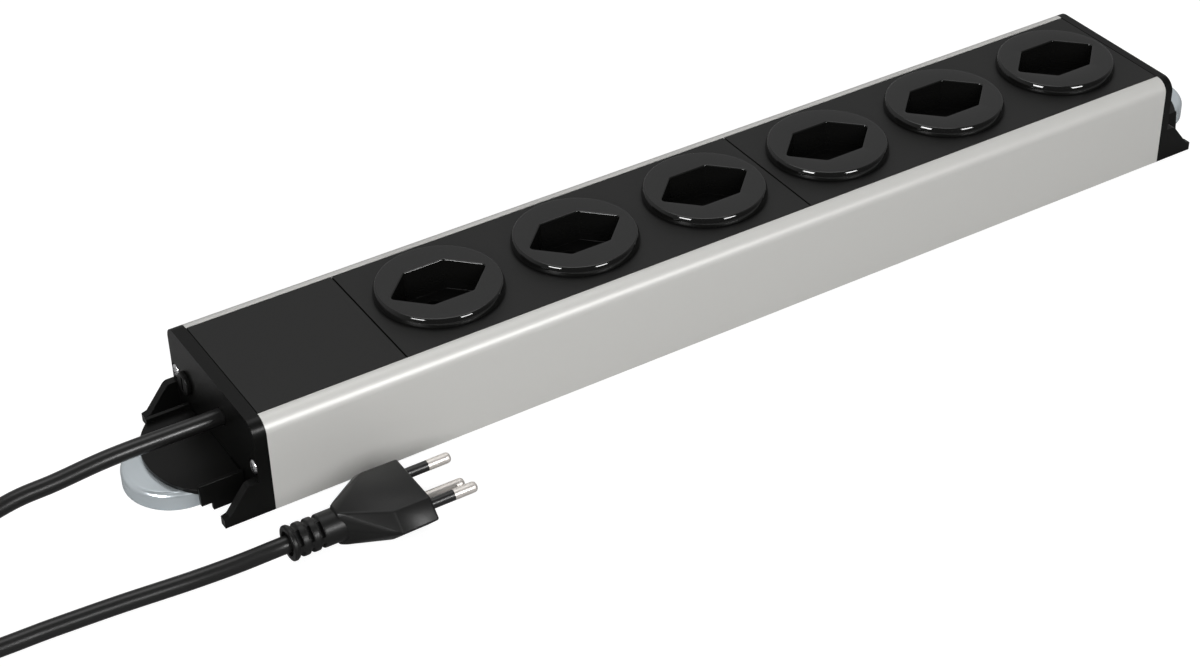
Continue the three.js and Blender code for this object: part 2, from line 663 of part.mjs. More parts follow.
const plug = new THREE.Group();
plug.position.set(PLUG.face, PLUG.y, PLUG.z);
strip.add(plug);
add('plug_body', buildPlugBody(), pvc(0x1e1e1e), plug);
add('plug_strain_relief', buildRelief(), pvc(0x1e1e1e), plug);
add('plug_pin_line', buildLivePin(...pinPlaces[0]), zinc(), plug);
add('plug_pin_neutral', buildLivePin(...pinPlaces[1]), zinc(), plug);
add('plug_pin_earth', buildEarthPin(...pinPlaces[2]), zinc(), plug);
add('pin_sleeve_line', buildSleeve(...pinPlaces[0]), blackPlastic(), plug);
add('pin_sleeve_neutral', buildSleeve(...pinPlaces[1]), blackPlastic(), plug);

export default strip;
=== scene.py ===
"""Desk power strip: the looks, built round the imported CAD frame.

Lengths are in metres. +X runs along the strip, away from the lead, +Y is its back and +Z is up.
"""

import math

import bmesh
import bpy
from mathutils import Matrix, Vector


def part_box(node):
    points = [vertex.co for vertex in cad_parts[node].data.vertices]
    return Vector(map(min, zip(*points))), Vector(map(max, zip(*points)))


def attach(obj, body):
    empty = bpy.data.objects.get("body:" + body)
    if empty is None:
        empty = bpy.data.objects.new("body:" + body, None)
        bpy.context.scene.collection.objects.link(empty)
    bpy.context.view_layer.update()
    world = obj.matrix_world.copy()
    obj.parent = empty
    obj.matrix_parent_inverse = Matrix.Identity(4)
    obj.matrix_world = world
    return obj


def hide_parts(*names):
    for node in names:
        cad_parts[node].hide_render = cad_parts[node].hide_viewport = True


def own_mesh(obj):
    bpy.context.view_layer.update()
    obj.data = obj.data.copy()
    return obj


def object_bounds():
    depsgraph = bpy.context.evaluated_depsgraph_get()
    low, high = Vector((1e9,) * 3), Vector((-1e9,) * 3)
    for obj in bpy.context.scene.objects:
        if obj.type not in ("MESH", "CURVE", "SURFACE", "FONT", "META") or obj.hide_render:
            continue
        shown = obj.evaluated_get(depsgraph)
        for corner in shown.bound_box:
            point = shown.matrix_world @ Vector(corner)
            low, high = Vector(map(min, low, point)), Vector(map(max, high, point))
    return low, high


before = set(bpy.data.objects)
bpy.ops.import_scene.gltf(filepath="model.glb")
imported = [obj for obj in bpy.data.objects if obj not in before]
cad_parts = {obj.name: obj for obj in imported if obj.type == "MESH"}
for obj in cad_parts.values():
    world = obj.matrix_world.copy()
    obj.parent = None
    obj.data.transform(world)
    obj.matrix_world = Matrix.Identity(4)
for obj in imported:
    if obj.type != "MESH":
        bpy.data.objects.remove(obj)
cad_low, cad_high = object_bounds()

MM = 0.001
BODY = "strip"
SOCKETS = 6


# ---------- materials ----------

NOISE_DETAIL = 3
PLASTIC_GRAIN = 0.012 * MM  # height of the moulded grain
PLASTIC_SCALE = 2200  # grains per metre
PLASTIC_SPREAD = 0.04  # how far the roughness varies up and down
METAL_GRAIN = 0.004 * MM
METAL_SCALE = 1500
METAL_SPREAD = 0.05
DISC_GRAIN = 0.002 * MM


def shader_of(name):
    """A new material, its node tree and its shader."""
    material = bpy.data.materials.new(name)
    material.use_nodes = True
    tree = material.node_tree
    return material, tree, tree.nodes["Principled BSDF"]


def noise_of(tree, scale, stretch=(1, 1, 1)):
    """Noise fixed to the object; scale counts features per metre."""
    place = tree.nodes.new("ShaderNodeTexCoord")
    mapping = tree.nodes.new("ShaderNodeMapping")
    noise = tree.nodes.new("ShaderNodeTexNoise")
    mapping.inputs["Scale"].default_value = stretch
    noise.inputs["Scale"].default_value = scale
    noise.inputs["Detail"].default_value = NOISE_DETAIL
    tree.links.new(place.outputs["Object"], mapping.inputs["Vector"])
    tree.links.new(mapping.outputs["Vector"], noise.inputs["Vector"])
    return noise


def add_bump(tree, shader, noise, height):
    bump = tree.nodes.new("ShaderNodeBump")
    bump.inputs["Distance"].default_value = height
    tree.links.new(noise.outputs["Fac"], bump.inputs["Height"])
    tree.links.new(bump.outputs["Normal"], shader.inputs["Normal"])


def feed(tree, value, target, ends, span=(0, 1)):
    """Links a node's value to a target, rescaled from the span to the ends."""
    rescaled = tree.nodes.new("ShaderNodeMapRange")
    rescaled.inputs["From Min"].default_value = span[0]
    rescaled.inputs["From Max"].default_value = span[1]
    rescaled.inputs["To Min"].default_value = ends[0]
    rescaled.inputs["To Max"].default_value = ends[1]
    tree.links.new(value, rescaled.inputs["Value"])
    tree.links.new(rescaled.outputs["Result"], target)


def add_grain(tree, shader, noise, roughness, spread, height):
    """Lets the noise vary the roughness by the spread and raise a fine bump."""
    feed(tree, noise.outputs["Fac"], shader.inputs["Roughness"], (roughness - spread, roughness + spread))
    add_bump(tree, shader, noise, height)


def plastic(name, color, roughness, grain=PLASTIC_GRAIN, scale=PLASTIC_SCALE, specular=0.5):
    material, tree, shader = shader_of(name)
    shader.inputs["Base Color"].default_value = (*color, 1)
    shader.inputs["Specular IOR Level"].default_value = specular
    add_grain(tree, shader, noise_of(tree, scale), roughness, PLASTIC_SPREAD, grain)
    return material


def metal(name, color, roughness, grain=METAL_GRAIN, scale=METAL_SCALE, stretch=(1, 1, 1), metallic=1):
    material, tree, shader = shader_of(name)
    shader.inputs["Base Color"].default_value = (*color, 1)
    shader.inputs["Metallic"].default_value = metallic
    add_grain(tree, shader, noise_of(tree, scale, stretch), roughness, METAL_SPREAD, grain)
    return material


TOP_FACE_Z = 0.985  # a surface whose normal rises less than this is rim or wall
WALL_TO_TOP_ROUGHNESS = (0.06, 0.4)
RECESS_PAINTED_SHADE = (0.03, 0.5)  # specular level at the recess's floor and at its mouth, turned down with depth as painted shade
RECESS_SHADE_DEPTHS = (12.8 * MM, 4 * MM)  # where those two levels hold, under the discs' top


def disc_plastic(name, color):
    """Polished walls and rim under a satin top face; the recess's reflection is turned down with depth, a
    painted shade.
    """
    material, tree, shader = shader_of(name)
    shader.inputs["Base Color"].default_value = (*color, 1)
    surface = tree.nodes.new("ShaderNodeNewGeometry")
    tilt = tree.nodes.new("ShaderNodeSeparateXYZ")
    tree.links.new(surface.outputs["Normal"], tilt.inputs["Vector"])
    feed(tree, tilt.outputs["Z"], shader.inputs["Roughness"], WALL_TO_TOP_ROUGHNESS, (TOP_FACE_Z, 1))
    place = tree.nodes.new("ShaderNodeSeparateXYZ")
    tree.links.new(surface.outputs["Position"], place.inputs["Vector"])
    heights = [cad_high.z - depth for depth in RECESS_SHADE_DEPTHS]
    # painted shade: the specular level falls from the recess's mouth towards its floor
    feed(tree, place.outputs["Z"], shader.inputs["Specular IOR Level"], RECESS_PAINTED_SHADE, heights)
    add_bump(tree, shader, noise_of(tree, PLASTIC_SCALE), DISC_GRAIN)
    return material


LOOKS = {
    "aluminium": metal(
        "aluminium", (0.72, 0.715, 0.69), 0.42, scale=900, stretch=(0.02, 1, 1), metallic=0.12),
    "matte_black": plastic("matte_black", (0.006, 0.006, 0.0056), 0.5, specular=0.38),
    "gloss_black": disc_plastic("gloss_black", (0.006, 0.006, 0.0057)),
    "cap_black": plastic("cap_black", (0.004, 0.004, 0.0037), 0.34, specular=0.19),
    "inner_grey": plastic("inner_grey", (0.3, 0.3, 0.29), 0.5),
    "spring_steel": metal("spring_steel", (0.6, 0.6, 0.6), 0.3),
    "contact_brass": metal("contact_brass", (0.72, 0.5, 0.22), 0.3),
    "screw_steel": metal("screw_steel", (0.78, 0.78, 0.79), 0.28),
    "zinc_plate": metal("zinc_plate", (0.8, 0.87, 0.91), 0.24, grain=0.0015 * MM, scale=300, metallic=0.7),
    "ferrite": plastic("ferrite", (0.05, 0.05, 0.052), 0.6, grain=0.03 * MM, scale=900),
    "cable_pvc": plastic("cable_pvc", (0.0066, 0.0066, 0.0064), 0.33, grain=0.01 * MM, scale=1800),
    "plug_pvc": plastic(
        "plug_pvc", (0.0062, 0.0062, 0.006), 0.4, grain=0.014 * MM, scale=1600, specular=0.32),
    "pin_nickel": metal("pin_nickel", (0.78, 0.74, 0.7), 0.36, grain=0.0004 * MM, metallic=0.6),
    "pin_sleeve": plastic("pin_sleeve", (0.009, 0.009, 0.009), 0.35),
    "wire_brown": plastic("wire_brown", (0.13, 0.05, 0.025), 0.4),
    "wire_blue": plastic("wire_blue", (0.03, 0.1, 0.35), 0.4),
    "wire_green": plastic("wire_green", (0.2, 0.4, 0.06), 0.4),
}


# ---------- mesh helpers ----------

SMOOTH_LIMIT = math.radians(32)
BEVEL_LIMIT = math.radians(35)
FLAT_LIMIT = math.radians(0.5)  # faces closer to one plane than this are joined
SAME_POINT = 1e-6
CORNER_STEPS = 8  # parts of each rounded corner of a polygon
EDGE_STEPS = 16  # parts of each of its straight sides
SMALL_ROUND = 40  # sides of a small turned piece
ROUND = 64
LARGE_ROUND = 96


def mark_smooth(mesh_data):
    """Smooth faces, with an edge kept sharp where its faces meet at more than the limit."""
    for face in mesh_data.faces:
        face.smooth = True
    for edge in mesh_data.edges:
        edge.smooth = len(edge.link_faces) == 2 and edge.calc_face_angle(0) < SMOOTH_LIMIT


def make_object(name, mesh_data):
    bmesh.ops.recalc_face_normals(mesh_data, faces=mesh_data.faces)
    mark_smooth(mesh_data)
    mesh = bpy.data.meshes.new(name)
    mesh_data.to_mesh(mesh)
    mesh_data.free()
    made = bpy.data.objects.new(name, mesh)
    bpy.context.scene.collection.objects.link(made)
    return made


def round_edges(piece, width, segments=3, angle=BEVEL_LIMIT):
    bevel = piece.modifiers.new("rounded_edges", "BEVEL")
    bevel.width = width
    bevel.segments = segments
    bevel.limit_method = "ANGLE"
    bevel.angle_limit = angle
    bevel.harden_normals = True


def finish_piece(piece, slot, node, body=BODY, edge=0.0):
    """Gives the piece its look, rounds its edges and lets it ride in the node's place."""
    piece.data.materials.append(LOOKS[slot])
    if edge:
        round_edges(piece, edge)
    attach(piece, body)
    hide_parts(node)
    return piece


def loft(mesh_data, rings, closed_ends=True):
    """Joins rings of the same number of points, and fills the first and last if asked."""
    rows = [[mesh_data.verts.new(point) for point in ring] for ring in rings]
    count = len(rows[0])
    for lower, upper in zip(rows, rows[1:]):
        for i in range(count):
            j = (i + 1) % count
            mesh_data.faces.new((lower[i], lower[j], upper[j], upper[i]))
    if closed_ends:
        mesh_data.faces.new(rows[0])
        mesh_data.faces.new(rows[-1])


def arc(centre, radius, start, end, steps):
    """Points on an arc in a plane, angles in degrees."""
    angles = [math.radians(start + (end - start) * i / steps) for i in range(steps + 1)]
    return [(centre[0] + radius * math.cos(a), centre[1] + radius * math.sin(a)) for a in angles]


def turned_rings(profile, place, sides):
    """Rings about Z from (radius, height) points, then moved by place."""
    turns = [2 * math.pi * i / sides for i in range(sides)]
    return [[place @ Vector((r * math.cos(a), r * math.sin(a), z)) for a in turns] for r, z in profile]


def turned(profile, place, sides):
    """Solid of revolution about Z, then moved by place."""
    mesh_data = bmesh.new()
    loft(mesh_data, turned_rings(profile, place, sides))
    return mesh_data


def box_mesh(low, high):
    mesh_data = bmesh.new()
    size = Vector(high) - Vector(low)
    middle = (Vector(high) + Vector(low)) / 2
    place = Matrix.Translation(middle) @ Matrix.Diagonal((*size, 1))
    bmesh.ops.create_cube(mesh_data, size=1, matrix=place)
    return mesh_data


def join_flat_faces(mesh_data):
    bmesh.ops.dissolve_limit(
        mesh_data, angle_limit=FLAT_LIMIT, verts=mesh_data.verts, edges=mesh_data.edges)


def cut(piece, cutters):
    """Takes each cutter's shape out of the piece, for good."""
    for cutter in cutters:
        step = piece.modifiers.new("cut", "BOOLEAN")
        step.operation = "DIFFERENCE"
        step.solver = "EXACT"
        step.object = cutter
    graph = bpy.context.evaluated_depsgraph_get()
    mesh = bpy.data.meshes.new_from_object(piece.evaluated_get(graph))
    piece.modifiers.clear()
    piece.data = mesh
    for cutter in cutters:
        bpy.data.objects.remove(cutter)
    mesh_data = bmesh.new()
    mesh_data.from_mesh(mesh)
    mark_smooth(mesh_data)
    mesh_data.to_mesh(mesh)
    mesh_data.free()
    return piece


def rounded_polygon(corners, radius):
    """The polygon's outline with each corner as an arc and each side split evenly, anticlockwise."""
    arcs = []
    for i, corner in enumerate(corners):
        here = Vector(corner)
        back = (Vector(corners[i - 1]) - here).normalized()
        ahead = (Vector(corners[(i + 1) % len(corners)]) - here).normalized()
        half_angle = back.angle(ahead) / 2
        centre = here + (back + ahead).normalized() * radius / math.sin(half_angle)
        start = here + back * radius / math.tan(half_angle) - centre
        end = here + ahead * radius / math.tan(half_angle) - centre
        turns = [start.angle(end) * k / CORNER_STEPS for k in range(CORNER_STEPS + 1)]
        arcs.append([centre + Matrix.Rotation(turn, 2) @ start for turn in turns])
    points = []
    for i, stretch in enumerate(arcs):
        following = arcs[(i + 1) % len(arcs)][0]
        points += stretch
        points += [stretch[-1].lerp(following, k / EDGE_STEPS) for k in range(1, EDGE_STEPS)]
    return points


def refined(node, slot, edge, body=BODY):
    """The CAD node's own shape with its edges rounded."""
    mesh_data = bmesh.new()
    mesh_data.from_mesh(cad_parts[node].data)
    bmesh.ops.remove_doubles(mesh_data, verts=mesh_data.verts, dist=SAME_POINT)
    join_flat_faces(mesh_data)
    return finish_piece(make_object(f"{node}_piece", mesh_data), slot, node, body, edge)


def centre_of(node):
    low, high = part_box(node)
    return (Vector(low) + Vector(high)) / 2


# ---------- housing ----------

JOINT = 0.15 * MM  # taken off each end of a plate, for a clear dark joint


def build_plate(node):
    """The plate with its ends drawn in a little."""
    piece = refined(node, "matte_black", 0.08 * MM)
    low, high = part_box(node)
    for vertex in piece.data.vertices:
        if abs(vertex.co.x - low[0]) < JOINT / 2:
            vertex.co.x += JOINT
        elif abs(vertex.co.x - high[0]) < JOINT / 2:
            vertex.co.x -= JOINT


def build_housing():
    refined("profile", "aluminium", 0.35 * MM)
    for plate in ("blank_cover", "socket_plate_a", "socket_plate_b"):
        build_plate(plate)
    for side in ("left", "right"):
        refined(f"end_cap_{side}", "cap_black", 0.35 * MM)
        refined(f"magnet_bracket_{side}", "cap_black", 0.5 * MM)


# ---------- sockets ----------

RIM_EDGE = 0.8 * MM  # rounding where the rim meets the top face
RIM_BARREL = 6.2 * MM  # the rim's wall bulges with this radius
RIM_STEEP = 4  # how far the wall's normal tilts up at its foot, in degrees
RIM_TURN = 30  # and at its top
RIM_UNDER = 0.3 * MM  # width of the flat ring under the rim's foot
RECESS = {"half": 11.5 * MM, "tip": 19.8 * MM, "depth": 13 * MM, "corner": 1.6 * MM, "lip": 0.55 * MM}
COLLAR_IN = 1 * MM  # how far the collar stands in from the disc's edge
FLOOR_THICK = 2.5 * MM
DISC_HEIGHT = 3.8 * MM
PIN_SPREAD = 9.5 * MM
EARTH_OFFSET = 5 * MM
HOLE_R = 2.35 * MM
HOLE_FLARE = 0.35 * MM


def hexagon(grow):
    """The recess's outline moved outwards by grow; its two ends are at 45 degrees."""
    half = RECESS["half"] + grow
    tip = RECESS["tip"] + grow * math.sqrt(2)
    flat = tip - half
    corners = [(tip, 0), (flat, half), (-flat, half), (-tip, 0), (-flat, -half), (flat, -half)]
    return rounded_polygon(corners, RECESS["corner"] + grow)


def rim_profile(radius, top):
    """The rim's slightly barrelled wall and its small rounded edge, from the foot up."""
    tilt = math.radians(RIM_TURN)
    reach = radius - RIM_BARREL
    wall_top = top - RIM_EDGE * (1 - math.sin(tilt))
    wall = arc((reach, wall_top - RIM_BARREL * math.sin(tilt)), RIM_BARREL, RIM_STEEP, RIM_TURN, 8)
    edge_centre = reach + (RIM_BARREL - RIM_EDGE) * math.cos(tilt)
    return wall + arc((edge_centre, top - RIM_EDGE), RIM_EDGE, RIM_TURN, 90, 6)[1:]


def insert_rings(radius, top):
    """Rings from the collar's foot, over the rounded rim and down into the recess."""
    outline = hexagon(0)
    bearings = [math.atan2(y, x) for x, y in outline]
    foot = top - RECESS["depth"] - FLOOR_THICK
    seat = top - DISC_HEIGHT
    outer = [(radius - COLLAR_IN, foot), (radius - COLLAR_IN, seat), (radius - RIM_UNDER, seat)]
    outer += rim_profile(radius, top)
    rings = [[(r * math.cos(a), r * math.sin(a), z) for a in bearings] for r, z in outer]
    lip = RECESS["lip"]
    floor = top - RECESS["depth"]
    for grow, z in arc((lip, top - lip), lip, 90, 180, 6):
        rings.append([(x, y, z) for x, y in hexagon(grow)])
    for grow, z in arc((-lip, floor + lip), lip, 0, -90, 4):
        rings.append([(x, y, z) for x, y in hexagon(grow)])
    return rings


def build_insert(number):
    """A raised disc with its six-sided recess and the three holes in the recess's floor."""
    node = f"socket_insert_{number}"
    low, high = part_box(node)
    middle = centre_of(node)
    radius = (high[0] - low[0]) / 2
    place = Matrix.Translation((middle.x, 0, 0))
    mesh_data = bmesh.new()
    rings = insert_rings(radius, high[2])
    loft(mesh_data, [[place @ Vector(point) for point in ring] for ring in rings])
    piece = make_object(f"{node}_piece", mesh_data)
    floor = high[2] - RECESS["depth"]
    holes = []
    for x, y in ((-PIN_SPREAD, 0), (PIN_SPREAD, 0), (0, EARTH_OFFSET)):
        place = Matrix.Translation((middle.x + x, y, floor))
        profile = [(HOLE_R, -2 * FLOOR_THICK), (HOLE_R, -HOLE_FLARE), (HOLE_R + 2 * HOLE_FLARE, HOLE_FLARE)]
        holes.append(make_object("hole", turned(profile, place, SMALL_ROUND)))
    cut(piece, holes)
    finish_piece(piece, "gloss_black", node, edge=0.12 * MM)


def build_spring(number):
    """The shutter's return spring, given a mesh of its own."""
    node = f"shutter_spring_{number}"
    spring = refined(node, "spring_steel", 0.05 * MM)
    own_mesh(spring)


def build_sockets():
    for number in range(1, SOCKETS + 1):
        build_insert(number)
        refined(f"shutter_{number}", "matte_black", 0.1 * MM, body=f"shutter_{number}")
        build_spring(number)


# ---------- small fittings ----------

def towards(direction, origin):
    """A frame at origin whose +Z points in the direction."""
    turn = Vector(direction).to_track_quat("Z", "Y").to_matrix().to_4x4()
    return Matrix.Translation(origin) @ turn


SCREWS = {
    "cap": {"head_r": 2.7 * MM, "head_h": 1.9 * MM, "shank_r": 1.3 * MM},
    "clamp": {"head_r": 2.2 * MM, "head_h": 1.4 * MM, "shank_r": 1 * MM},
    "earth": {"head_r": 3.1 * MM, "head_h": 2.2 * MM, "shank_r": 1.6 * MM},
}
DOME_FOOT = 0.4  # where the head's dome starts, as a share of the head's height
CROSS = {"arm": 0.62, "slot": 0.14, "floor": 0.35}  # the drive's sizes as shares of the head's


def screw_profile(screw, shank_length):
    """A pointed shank under a domed head; the head's underside is at height 0."""
    head_r, head_h, shank_r = screw["head_r"], screw["head_h"], screw["shank_r"]
    turns = [math.radians(a) for a in range(0, 86, 17)]
    dome = [(head_r * math.cos(a), head_h * (DOME_FOOT + (1 - DOME_FOOT) * math.sin(a))) for a in turns]
    point = [(shank_r * 0.6, -shank_length), (shank_r, -shank_length + 0.5 * MM)]
    return [*point, (shank_r, 0), (head_r, 0), *dome]


def build_screw(node, direction, screw):
    low, high = (Vector(corner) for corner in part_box(node))
    way = Vector(direction)
    length = abs((high - low).dot(way))
    head_r, head_h = screw["head_r"], screw["head_h"]
    place = towards(way, (low + high) / 2 + way * (length / 2 - head_h))
    profile = screw_profile(screw, length - head_h)
    piece = make_object(f"{node}_piece", turned(profile, place, SMALL_ROUND))
    arm = head_r * CROSS["arm"]
    slot = head_r * CROSS["slot"]
    cutters = []
    for x, y in ((arm, slot), (slot, arm)):
        cutter = box_mesh((-x, -y, head_h * CROSS["floor"]), (x, y, head_h * 2))
        bmesh.ops.transform(cutter, matrix=place, verts=cutter.verts)
        cutters.append(make_object("recess", cutter))
    cut(piece, cutters)
    finish_piece(piece, "screw_steel", node, edge=0.08 * MM)


def build_screws():
    for side, way in (("left", -1), ("right", 1)):
        for place in ("front", "back"):
            build_screw(f"cap_screw_{side}_{place}", (way, 0, 0), SCREWS["cap"])
    for name in ("a", "b"):
        build_screw(f"clamp_screw_{name}", (0, 0, 1), SCREWS["clamp"])
    build_screw("earth_screw", (0, 0, 1), SCREWS["earth"])


VENT_SHARE = 0.83  # the head's size as a share of the CAD head's
VENT_STEM = 0.85  # the stem's radius as a share of the head's
VENT_HEAD = {"thick": 1.7 * MM, "edge": 0.5 * MM}
VENT_SLOT = Vector((0.9 * MM, 0.7 * MM, 3 * MM))  # depth, half width and half length


def build_vent_plug():
    """The slotted round plug in the lead end's cap; its head faces -X."""
    low, high = (Vector(corner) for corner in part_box("vent_plug"))
    middle = (low + high) / 2
    radius = VENT_SHARE * (high.y - low.y) / 2
    depth = high.x - low.x
    place = towards((-1, 0, 0), (high.x, middle.y, middle.z))
    head = depth - VENT_HEAD["thick"]
    edge = VENT_HEAD["edge"]
    profile = [(radius * VENT_STEM, 0), (radius * VENT_STEM, head), (radius, head)]
    profile += arc((radius - edge, depth - edge), edge, 0, 90, 5)
    piece = make_object("vent_plug_piece", turned(profile, place, ROUND))
    face = Vector((low.x, middle.y, middle.z))
    slot = box_mesh(face - Vector((MM, VENT_SLOT.y, VENT_SLOT.z)), face + VENT_SLOT)
    cut(piece, [make_object("slot", slot)])
    finish_piece(piece, "cap_black", "vent_plug", edge=0.12 * MM)


# ---------- magnets ----------

CUP_WALL = 1.5 * MM
CUP_SHOULDER = 2.2 * MM
CUP_LIP = 0.3 * MM
CUP_HOLE = 2.2 * MM
CUP_SIDES = 144


def build_magnet(side):
    """The pressed steel cup, open downwards, with its magnet and its screw."""
    low, high = (Vector(corner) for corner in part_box(f"magnet_cup_{side}"))
    middle = (low + high) / 2
    radius = (high.x - low.x) / 2
    height = high.z - low.z
    inner = radius - CUP_WALL
    profile = [(CUP_HOLE, height - CUP_WALL), (inner, height - CUP_WALL), (inner, CUP_LIP)]
    profile += [(inner + CUP_LIP, 0), (radius - CUP_LIP, 0), (radius, CUP_LIP)]
    profile += arc((radius - CUP_SHOULDER, height - CUP_SHOULDER), CUP_SHOULDER, 0, 90, 12)
    profile += [(CUP_HOLE, height)]
    mesh_data = bmesh.new()
    rings = turned_rings(profile, Matrix.Translation((middle.x, middle.y, low.z)), CUP_SIDES)
    loft(mesh_data, rings + rings[:1], closed_ends=False)
    bmesh.ops.remove_doubles(mesh_data, verts=mesh_data.verts, dist=SAME_POINT)
    finish_piece(make_object(f"magnet_cup_{side}_piece", mesh_data), "zinc_plate", f"magnet_cup_{side}")
    refined(f"magnet_core_{side}", "ferrite", 0.2 * MM)
    refined(f"magnet_screw_{side}", "screw_steel", 0.1 * MM)


# ---------- lead ----------

def catmull_rom(points, steps):
    """Points on the centripetal Catmull-Rom curve through the given points."""
    points = [Vector(p) for p in points]
    ends = [2 * points[0] - points[1], *points, 2 * points[-1] - points[-2]]
    curve = []
    for a, b, c, d in zip(ends, ends[1:], ends[2:], ends[3:]):
        before, span, after = (math.sqrt((q - p).length) for p, q in ((a, b), (b, c), (c, d)))
        leave = ((b - a) / before - (c - a) / (before + span) + (c - b) / span) * span
        arrive = ((c - b) / span - (d - b) / (span + after) + (d - c) / after) * span
        for i in range(steps):
            t = i / steps
            curve.append((2 * t**3 - 3 * t**2 + 1) * b + (t**3 - 2 * t**2 + t) * leave
                         + (3 * t**2 - 2 * t**3) * c + (t**3 - t**2) * arrive)
    return curve + [points[-1]]


def tube(points, radius, sides):
    """A round solid along the points, without twist."""
    mesh_data = bmesh.new()
    side = Vector((0, 1, 0))
    rings = []
    for i, point in enumerate(points):
        ahead = (points[min(i + 1, len(points) - 1)] - points[max(i - 1, 0)]).normalized()
        side = (side - ahead * side.dot(ahead)).normalized()
        across = ahead.cross(side)
        turns = [2 * math.pi * k / sides for k in range(sides)]
        rings.append([point + radius * (math.cos(a) * side + math.sin(a) * across) for a in turns])
    loft(mesh_data, rings)
    return mesh_data


LEAD_R = 3.12 * MM
WIRE_LOOKS = {"wire_line": "wire_brown", "wire_neutral": "wire_blue", "wire_earth": "wire_green"}


def lead_path():
    """From the clamp, out through the cap, round a loop on the floor and back to the plug.

    The stations are in millimetres.
    """
    low, high = (Vector(corner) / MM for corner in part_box("cable"))
    plug = centre_of("plug_pin_earth") / MM
    relief_low, relief_high = (Vector(corner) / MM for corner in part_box("plug_strain_relief"))
    y, z = -8, 24.9  # the axis of the bore in the cap
    floor = 3.3  # the height of the lead's axis where it lies down
    entry = relief_low.x
    axis_z = (relief_low.z + relief_high.z) / 2
    stations = [
        (high.x, y, z), (-215, y, z), (-250, y, z), (-270, y, z - 1.8), (-286, y, z - 2.9),
        (-312, y - 2, z - 9), (-336, y - 9, z - 16.5), (-346.7, y - 23, floor + 1.2),
        (-338, y - 38, floor), (-320, y - 44, floor), (-292, y - 45.6, floor),
        (-270, y - 47, floor), (-244, y - 49.5, floor + 0.1), (-228, y - 52, floor + 1.6),
        (entry - 3, plug.y, axis_z), (entry + 10, plug.y, axis_z),
    ]
    return [point * MM for point in catmull_rom(stations, 14)]


def build_lead():
    piece = make_object("cable_piece", tube(lead_path(), LEAD_R, 28))
    finish_piece(piece, "cable_pvc", "cable")
    for wire, slot in WIRE_LOOKS.items():
        refined(wire, slot, 0)


# ---------- plug ----------

PINS = ("line", "neutral", "earth")
# The plug's and the strain relief's sizes are in millimetres.
PLUG = {"up": 5.9, "down": 8.5, "straight": 14.5, "length": 31}
PLUG_WIDE = {"tip": 18.3, "flat": 12.2, "foot": 9.8}  # half widths at the pins, the top and the foot
PLUG_TAIL = {"tip": 4.6, "flat": 2.6, "foot": 2.6}
NECK_DROP = 1.1  # the strain relief's axis lies this far under the outer two pins
NECK_R = 6.1
NECK_GAP = 0.08
NECK_FLOOR = -24  # where the bore for the neck ends, from the plug's front face
PIN_BORE = {"r": 2.15 * MM, "depth": 5 * MM}


def plug_frame():
    """The middle of the plug's front face, at the height of the outer two pins, in millimetres."""
    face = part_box("plug_body")[1][0]
    middle = (face, centre_of("plug_pin_earth").y, centre_of("plug_pin_line").z)
    return Matrix.Translation(middle) @ Matrix.Scale(MM, 4)


def plug_hexagon(x, wide, shrink=0.0):
    tip, flat, foot = (wide[part] - shrink for part in ("tip", "flat", "foot"))
    up, down = PLUG["up"] - shrink, PLUG["down"] - shrink
    outline = ((tip, 0), (flat, up), (-flat, up), (-tip, 0), (-foot, -down), (foot, -down))
    return [(x, y, z) for y, z in outline]


def build_plug_body():
    """A flattened six-sided block whose top and foot end in tails over and under the strain relief."""
    place = plug_frame()
    corners = plug_hexagon(0, PLUG_WIDE, 0.12) + plug_hexagon(-PLUG["straight"], PLUG_WIDE)
    corners += plug_hexagon(-PLUG["length"], PLUG_TAIL)
    mesh_data = bmesh.new()
    for corner in corners:
        mesh_data.verts.new(place @ Vector(corner))
    bmesh.ops.convex_hull(mesh_data, input=mesh_data.verts)
    join_flat_faces(mesh_data)
    piece = make_object("plug_body_piece", mesh_data)
    round_edges(piece, 0.8 * MM, 4, math.radians(12))
    bore_r = (NECK_R + NECK_GAP) * MM
    neck = towards((-1, 0, 0), place @ Vector((NECK_FLOOR, 0, -NECK_DROP)))
    cutters = [make_object("neck", turned([(bore_r, 0), (bore_r, 9 * MM)], neck, LARGE_ROUND))]
    pin_bore = [(PIN_BORE["r"], -PIN_BORE["depth"]), (PIN_BORE["r"], MM)]
    for pin in PINS:
        middle = centre_of(f"plug_pin_{pin}")
        mouth = towards((1, 0, 0), (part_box("plug_body")[1][0], middle.y, middle.z))
        cutters.append(make_object("bore", turned(pin_bore, mouth, SMALL_ROUND)))
    cut(piece, cutters)
    finish_piece(piece, "plug_pvc", "plug_body")


FLANGE = {"r": 6.45, "thick": 1.8, "mouth_r": 4.6, "mouth": 1.4, "edge": 0.55}
WINDOW = {"first": 13.5, "pitch": 4, "half": 0.85, "across": 2.9, "inner": 3.4}
WAIST = {"deep": 0.5, "half": 0.7}  # how the relief draws in at each row of windows
RELIEF_START = 0.2
RELIEF_STEPS = 110


def relief_profile(gaps, length):
    """(radius, height) points from the neck, over the waists, to the end flange and its mouth."""
    flange_start = length - FLANGE["thick"]
    profile = [(WINDOW["inner"], RELIEF_START), (NECK_R, RELIEF_START)]
    for i in range(1, RELIEF_STEPS + 1):
        z = flange_start * i / RELIEF_STEPS
        waist = sum(math.exp(-((z - gap) / WAIST["half"]) ** 2) for gap in gaps)
        profile.append((NECK_R - WAIST["deep"] * waist, z))
    edge = FLANGE["edge"]
    profile += arc((FLANGE["r"] - edge, flange_start + edge), edge, -90, 0, 5)
    profile += arc((FLANGE["r"] - edge, length - edge), edge, 0, 90, 5)
    mouth_floor = length - FLANGE["mouth"]
    profile += [(FLANGE["mouth_r"], length), (FLANGE["mouth_r"], mouth_floor)]
    return profile + [(WINDOW["inner"], mouth_floor)]


